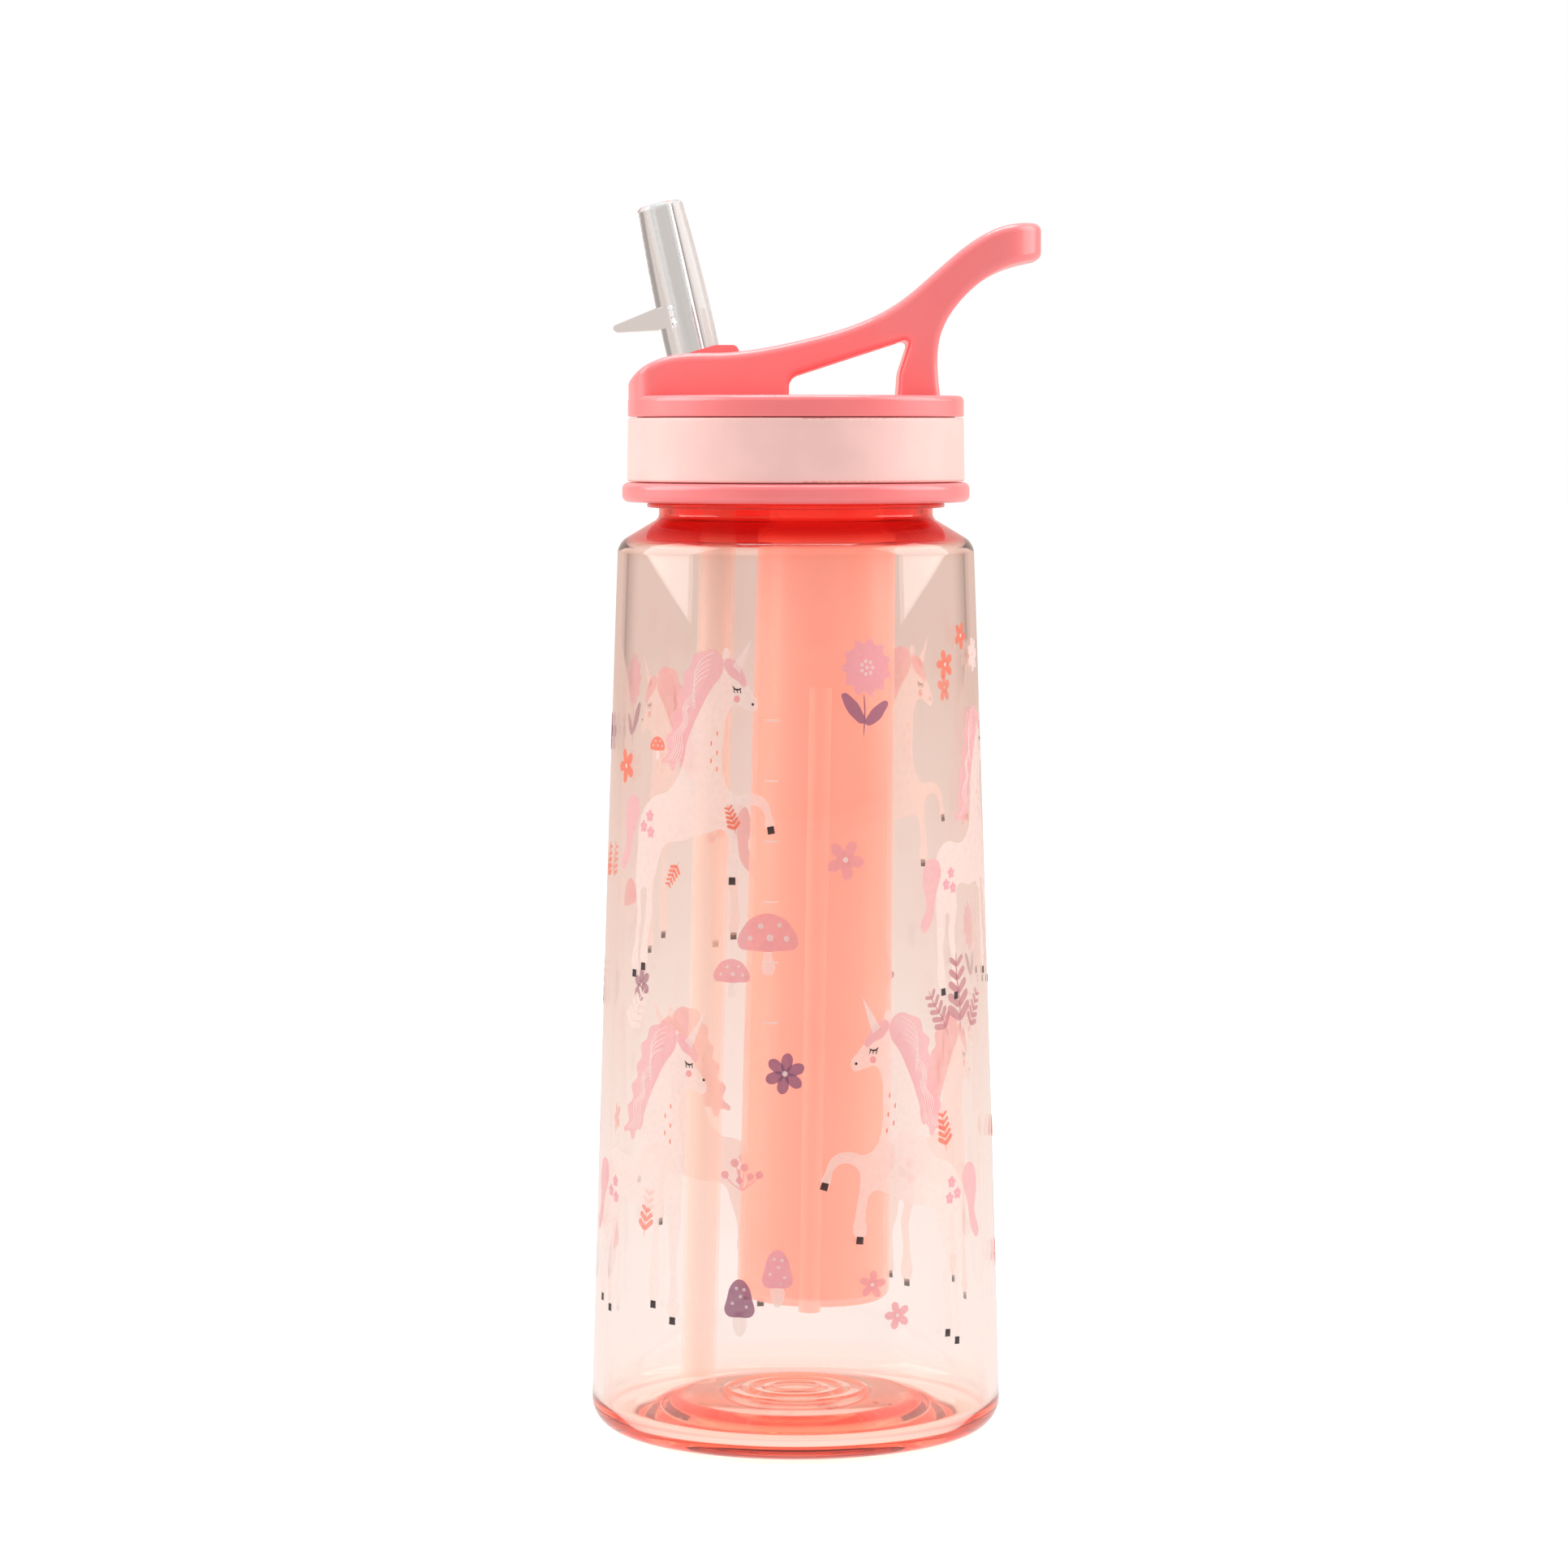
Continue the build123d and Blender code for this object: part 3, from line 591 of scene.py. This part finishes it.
standing = [
    (8.2, 25.8), (9.2, 28.8), (10.5, 25.8), (12.9, 23.6), (15.4, 20.0), (16.6, 17.9), (15.6, 16.6),
    (13.4, 17.4), (11.2, 16.4), (10.4, 11.0), (10.9, 6.0), (11.4, 1.0), (11.0, -5.0),
    (11.0, -10.0), (10.2, -16.0), (10.4, -22.0), (10.1, -28.6), (8.7, -28.6), (8.7, -22.0),
    (8.3, -16.0), (7.6, -9.0), (6.4, -6.2), (5.6, -10.0), (5.6, -16.0), (5.1, -25.8), (3.8, -25.8),
    (3.7, -16.0), (3.0, -7.4), (-2.0, -7.0), (-7.2, -6.4), (-8.2, -11.0), (-9.8, -16.0),
    (-9.7, -22.0), (-10.0, -28.8), (-11.4, -28.8), (-11.5, -21.5), (-12.0, -16.0), (-11.8, -11.5),
    (-13.0, -15.0), (-14.2, -19.0), (-14.1, -24.0), (-14.4, -27.4), (-15.7, -27.4), (-16.0, -19.5),
    (-15.6, -13.0), (-15.1, -6.0), (-14.4, 0.2), (-11.0, 3.2), (-5.0, 2.4), (-0.8, 4.4),
    (1.2, 10.0), (2.8, 17.0), (5.2, 22.8),
]
hair = [
    (9.0, 28.4), (7.0, 30.0), (4.6, 29.6), (2.0, 28.8), (1.0, 26.4), (-0.8, 25.0), (-0.6, 22.6),
    (-2.2, 20.8), (-1.8, 18.6), (-3.8, 16.6), (-3.2, 14.2), (-5.2, 12.2), (-4.6, 9.6), (-6.4, 7.2),
    (-4.2, 7.4), (-3.0, 5.8), (-1.6, 8.0), (-0.4, 8.2), (0.6, 11.4), (2.0, 14.6), (4.2, 18.6),
    (6.6, 22.4), (9.0, 25.4),
]
forelock = [(9.6, 28.0), (12.0, 27.8), (13.8, 25.6), (14.2, 22.8), (12.4, 24.0), (10.6, 25.0)]
horn = [(11.4, 26.8), (15.9, 32.6), (13.0, 25.4)]
tail = [
    (-13.4, -1.0), (-16.6, 0.4), (-19.0, -3.4), (-18.4, -9.0), (-20.2, -14.4), (-17.4, -13.0),
    (-15.6, -8.0),
]
hoof = [(-0.75, -0.8), (-0.7, 0.7), (0.7, 0.7), (0.75, -0.8)]


def unicorn(body, hooves, spot):
    """One unicorn facing right: body, wavy mane with pale strands, forelock, horn, eye and hooves."""
    stamp("white", body, spot)
    for lock in (hair, forelock, tail):
        stamp("blush", lock, spot)
    stamp("chalk", horn, spot, sharp=True)
    for shift in (-0.9, 0.2, 1.3, 2.4, 3.5):
        strand = [
            (6.8 - shift * 0.3, 28.4 - shift),
            (4.0 - shift * 0.2, 27.2 - shift),
            (2.2 - shift * 0.1, 24.2 - shift),
            (2.4, 21.2 - shift * 0.8),
            (-0.2 + shift * 0.3, 18.6),
            (-0.2 + shift * 0.3, 15.6),
            (-2.4 + shift * 0.5, 12.8),
            (-2.2 + shift * 0.5, 10.2),
            (-4.2 + shift * 0.8, 7.8),
        ]
        line("chalk", strand, spot, 0.24)
    line("charcoal", [(11.4, 22.9), (12.3, 22.2), (13.4, 22.5)], spot, 0.32)
    for lash in (11.7, 12.4, 13.1):
        line("charcoal", [(lash, 22.5), (lash + 0.1, 21.9), (lash + 0.2, 21.5)], spot, 0.2)
    dot("charcoal", 15.9, 19.4, 0.28, spot)
    dot("rose", 12.4, 20.4, 0.7, spot)
    for x, y in ((8.0, 13.6), (6.6, 11.6), (8.0, 9.8), (6.6, 8.2), (8.0, 6.6)):
        line("coral", [(x, y + 0.5), (x + 0.1, y), (x, y - 0.5)], spot, 0.3)
    for x, y in ((-11.6, -5.6), (-9.6, -3.4), (-9.2, -6.6)):
        petals("lilac", 5, 1.2, 0.9, spot @ moved(x, y), 0.15)
    for x, y, turn in hooves:
        stamp("charcoal", hoof, spot @ moved(x, y, turn), sharp=True)


prancing_hooves = ((19.9, -5.1, 10), (11.8, -15.2, 0), (-10.5, -33.3, 0), (-13.5, -34.9, 0))
standing_hooves = ((9.4, -28.9, 0), (4.4, -26.2, 0), (-10.7, -29.1, 0), (-15.1, -27.7, 0))
for spot in (at(-36, 130), at(37, 58, 1.0, -6, -1), at(150, 128, flip=-1), at(-150, 52)):
    unicorn(prancing, prancing_hooves, spot)
for spot in (at(66, 119, 0.95, 4), at(-50, 56), at(-138, 124), at(128, 52, flip=-1)):
    unicorn(standing, standing_hooves, spot)

# Lobed daisies with a dotted heart and two plum leaves
for turn, height, size in ((22, 156.5, 1.0), (-105, 152, 1.0), (-172, 96, 0.9), (100, 101.5, 0.9)):
    spot = at(turn, height, size)
    lobes = [(pi * index / 11, 5.8 if index % 2 else 4.7) for index in range(22)]
    stamp("lilac", [(reach * cos(angle), reach * sin(angle)) for angle, reach in lobes], spot)
    for index in range(7):
        angle = 2 * pi * index / 7
        dot("chalk", 1.3 * cos(angle), 1.3 * sin(angle), 0.4, spot)
    dot("chalk", 0, 0, 0.4, spot)
    line("plum", [(-0.8, -5.2), (-0.6, -8.5), (-1.0, -13.4)], spot, 0.35)
    for leaf in (
        [(-0.8, -10.8), (-3.4, -9.6), (-5.4, -6.6), (-5.6, -5.0), (-3.2, -6.0), (-1.2, -8.6)],
        [(-0.5, -11.0), (2.2, -10.6), (4.2, -8.4), (4.8, -6.8), (2.2, -7.4), (0.2, -9.2)],
    ):
        stamp("plum", leaf, spot)

# Small open flowers: ink, petals, place, size
for ink, count, turn, height, size in (
    ("coral", 5, 53, 156.5, 0.85), ("coral", 5, 63, 162, 0.8), ("chalk", 7, 74, 158, 1.0),
    ("rose", 5, 14.6, 119, 1.15), ("plum", 6, -3.2, 77.2, 1.15), ("rose", 5, 21.5, 35.2, 0.8),
    ("rose", 5, 29.1, 28.7, 0.8), ("coral", 5, -64, 136, 1.0), ("plum", 6, -88, 142, 1.2),
    ("coral", 5, 118, 150, 0.9), ("rose", 5, 172, 160, 1.1), ("plum", 6, -120, 88, 1.0),
    ("coral", 5, -100, 62, 0.9), ("rose", 5, 85, 36, 0.9), ("plum", 6, 168, 32, 1.0),
    ("coral", 5, -172, 66, 0.9),
):
    spot = at(turn, height, size, turn * 3)
    petals(ink, count, 3.4, 2.0, spot)
    dot("chalk" if ink != "chalk" else "rose", 0, 0, 0.5, spot)

# Toadstools, round ones and tall ones, and sprigs: ink, place, size and tilt
for cap, turn, height, size in (
    ("rose", -8.3, 102, 1.2), ("rose", -19, 95.4, 0.75), ("coral", -47, 140, 0.45),
    ("rose", 178, 72, 1.1), ("coral", 88, 60, 0.7), ("rose", -108, 106, 0.9),
    ("coral", 100, 124, 0.7),
):
    toadstool(cap, at(turn, height, size))

for cap, turn, height in (
    ("lilac", -5.2, 35.5), ("plum", -15.8, 29.5), ("plum", -95, 30), ("lilac", -102, 35),
):
    bell(cap, at(turn, height))

for ink, turn, height, size, tilt in (
    ("mauve", 56, 83, 1.35, 4), ("mauve", 50, 83, 0.9, 32), ("mauve", 61, 83, 0.8, -30),
    ("chalk", -58, 83, 0.9, -30), ("coral", 48, 60, 0.7, 8), ("coral", -37, 118, 0.5, 150),
    ("coral", -18, 124, 0.5, 20), ("mauve", -90, 84, 1.0, 0), ("coral", -125, 34, 0.9, 12),
    ("mauve", 150, 84, 1.1, -8), ("coral", 176, 140, 0.8, 0), ("mauve", -168, 24, 0.9, 0),
    ("chalk", 105, 76, 0.9, 20), ("coral", -80, 112, 0.7, -14),
):
    sprig(ink, at(turn, height, size, tilt))

# A branch of berries under the two toadstools
branch = at(-15.2, 57.6)
berries = (
    (-3.6, -0.6, 0.8), (-1.6, 1.8, 0.85), (0.4, 1.0, 0.8), (1.6, -0.8, 0.75), (3.4, -0.4, 0.8),
    (-0.6, -1.6, 0.7),
)
for x, y, radius in berries:
    dot("rose", x, y, radius, branch)
    line("rose", [(x, y), (x * 0.6, y - 1.6), (0, -3.6)], branch, 0.2)

# Fill marks: short pale lines beside the ice stick, one every step
first_mark, mark_step, mark_count = 87.2, 11.82, 6
mark = [(-1.5, -0.17), (-1.5, 0.17), (1.5, 0.17), (1.5, -0.17)]
for index in range(mark_count):
    stamp("chalk", mark, at(-7.4, first_mark + mark_step * index), sharp=True)


def ink_of(name, color, cover):
    """Matt screen-print ink that covers a little unevenly and lets some light through."""
    material, tree, shader = material_of(name)
    shader.inputs["Base Color"].default_value = (*color, 1)
    shader.inputs["Specular IOR Level"].default_value = 0.3
    mottle = node(tree, "ShaderNodeTexNoise", Scale=900.0, Detail=3.0)
    tree.links.new(object_place(tree), mottle.inputs["Vector"])
    uneven = mottle.outputs["Fac"]
    tree.links.new(map_range(tree, uneven, 0.3, 0.7, 0.4, 0.6), shader.inputs["Roughness"])
    lit_through = node(tree, "ShaderNodeBsdfTranslucent", Color=(*color, 1))
    both = mix_shader(tree, 0.45, shader, lit_through)
    bare = tree.nodes.new("ShaderNodeBsdfTransparent")
    share = map_range(tree, uneven, 0.3, 0.6, cover - 0.02, min(cover + 0.02, 1))
    show(tree, mix_shader(tree, share, bare, both))
    return material


# Ink: colour, cover, height above the wall in mm
inks = {
    "white": ((1.0, 0.94, 0.91), 0.67, 0.05),
    "lilac": ((0.92, 0.50, 0.60), 0.80, 0.06),
    "mauve": ((0.62, 0.32, 0.36), 0.80, 0.06),
    "blush": ((0.94, 0.58, 0.62), 0.76, 0.065),
    "rose": ((0.95, 0.47, 0.51), 0.80, 0.07),
    "plum": ((0.38, 0.18, 0.30), 0.88, 0.08),
    "coral": ((0.95, 0.26, 0.17), 0.85, 0.09),
    "chalk": ((0.98, 0.90, 0.87), 0.88, 0.10),
    "charcoal": ((0.05, 0.04, 0.045), 0.95, 0.11),
}
# Each coat is cut into strips, wrapped round the wall and turned to face outwards
for ink, (color, cover, lift) in inks.items():
    coat = coats[ink]
    for axis, step in ((0, strip_width), (1, strip_height)):
        low = min(corner.co[axis] for corner in coat.verts)
        high = max(corner.co[axis] for corner in coat.verts)
        normal = (1, 0, 0) if axis == 0 else (0, 1, 0)
        for index in range(int(low / step), int(high / step) + 1):
            cut = [step * index * component for component in normal]
            geometry = coat.verts[:] + coat.edges[:] + coat.faces[:]
            bmesh.ops.bisect_plane(coat, geom=geometry, plane_co=cut, plane_no=normal)
    for corner in coat.verts:
        along, up, _ = corner.co
        angle, radius = along / print_radius, wall_radius(up) + lift * mm
        corner.co = (radius * sin(angle), -radius * cos(angle), up)
    coat.normal_update()
    level_only = Vector((1, 1, 0))
    inward = [face for face in coat.faces if face.normal.dot(face.calc_center_median() * level_only) < 0]
    bmesh.ops.reverse_faces(coat, faces=inward)
    piece = new_piece(f"print_{ink}", coat, ink_of(f"{ink}_ink", color, cover), "bottle")


# Lid: the screw cap, the top cover with its handle, the spout's cradle and the stick's plug are
# injection-moulded coral plastic. The grip band is matt blush, the seals are milky silicone, and the
# spout is clear and colourless.
def moulded(name, color, roughness, coat=0.0):
    """Opaque moulded plastic with a faint orange-peel grain and slightly uneven colour."""
    material, tree, shader = material_of(name)
    place = object_place(tree)
    haze_range = 0.02
    cloud = node(tree, "ShaderNodeTexNoise", Scale=90.0, Detail=3.0)
    tree.links.new(place, cloud.inputs["Vector"])
    light_color = tuple(min(1, c * 1.06 + 0.005) for c in color)
    mix = color_ramp(tree, cloud.outputs["Fac"], [(0.35, color), (0.65, light_color)])
    tree.links.new(mix, shader.inputs["Base Color"])
    haze = node(tree, "ShaderNodeMapRange")
    haze.inputs["To Min"].default_value = roughness - haze_range
    haze.inputs["To Max"].default_value = roughness + haze_range
    tree.links.new(cloud.outputs["Fac"], haze.inputs["Value"])
    tree.links.new(haze.outputs[0], shader.inputs["Roughness"])
    peel = node(tree, "ShaderNodeTexNoise", Scale=1500.0, Detail=2.0)
    tree.links.new(place, peel.inputs["Vector"])
    bump = node(tree, "ShaderNodeBump", Strength=0.02, Distance=0.0001)
    tree.links.new(peel.outputs["Fac"], bump.inputs["Height"])
    tree.links.new(bump.outputs[0], shader.inputs["Normal"])
    shader.inputs["Coat Weight"].default_value = coat
    return material


def dress(name, material):
    """Gives a CAD node its finish."""
    for slot in nodes[name].material_slots:
        slot.material = material


coral = moulded("coral_moulding", (1.0, 0.225, 0.235), 0.32, coat=0.35)
for name in ("screw_cap", "top_cover", "spout_cradle", "ice_stick_plug"):
    dress(name, coral)
dress("grip_band", moulded("blush_band", (0.93, 0.60, 0.56), 0.45))
silicone = moulded("milky_silicone", (0.80, 0.74, 0.70), 0.5)
for name in ("lid_gasket", "spout_seal", "straw_boot", "vent_valve", "ice_stick_ring"):
    dress(name, silicone)

dress("spout", tinted_plastic("clear_spout", (0.9, 0.92, 0.93), 0, (0.88, 0.93, 0.95)))


# Straw and ice stick: they hang from the lid in cloudy plastic, peach for the straw, salmon for the
# stick and the gel in it.
def milky(name, color, alpha, roughness=0.25, through=0.0, glow=0.0):
    """Cloudy tinted plastic that lets some of what is behind it through, with a painted glow of its own
    colour standing in for light shining through it.
    """
    material, tree, shader = material_of(name)
    shader.inputs["Base Color"].default_value = (*color, 1)
    shader.inputs["Roughness"].default_value = roughness
    shader.inputs["Alpha"].default_value = alpha
    shader.inputs["Transmission Weight"].default_value = through
    shader.inputs["IOR"].default_value = 1.4
    # Painted glow: light of the plastic's own colour given off though it is no lamp
    shader.inputs["Emission Color"].default_value = (*color, 1)
    shader.inputs["Emission Strength"].default_value = glow
    return material


# Each gets a small painted glow standing in for the light that shines through it
dress("straw", milky("peach_straw", (1.0, 0.80, 0.69), 0.2, glow=0.06))
dress("ice_stick_tube", milky("salmon_stick", (1.0, 0.54, 0.44), 0.6, 0.25, 0.4, 0.17))
dress("ice_gel", milky("salmon_gel", (1.0, 0.72, 0.63), 0.6, 0.4, 0.5, 0.1))
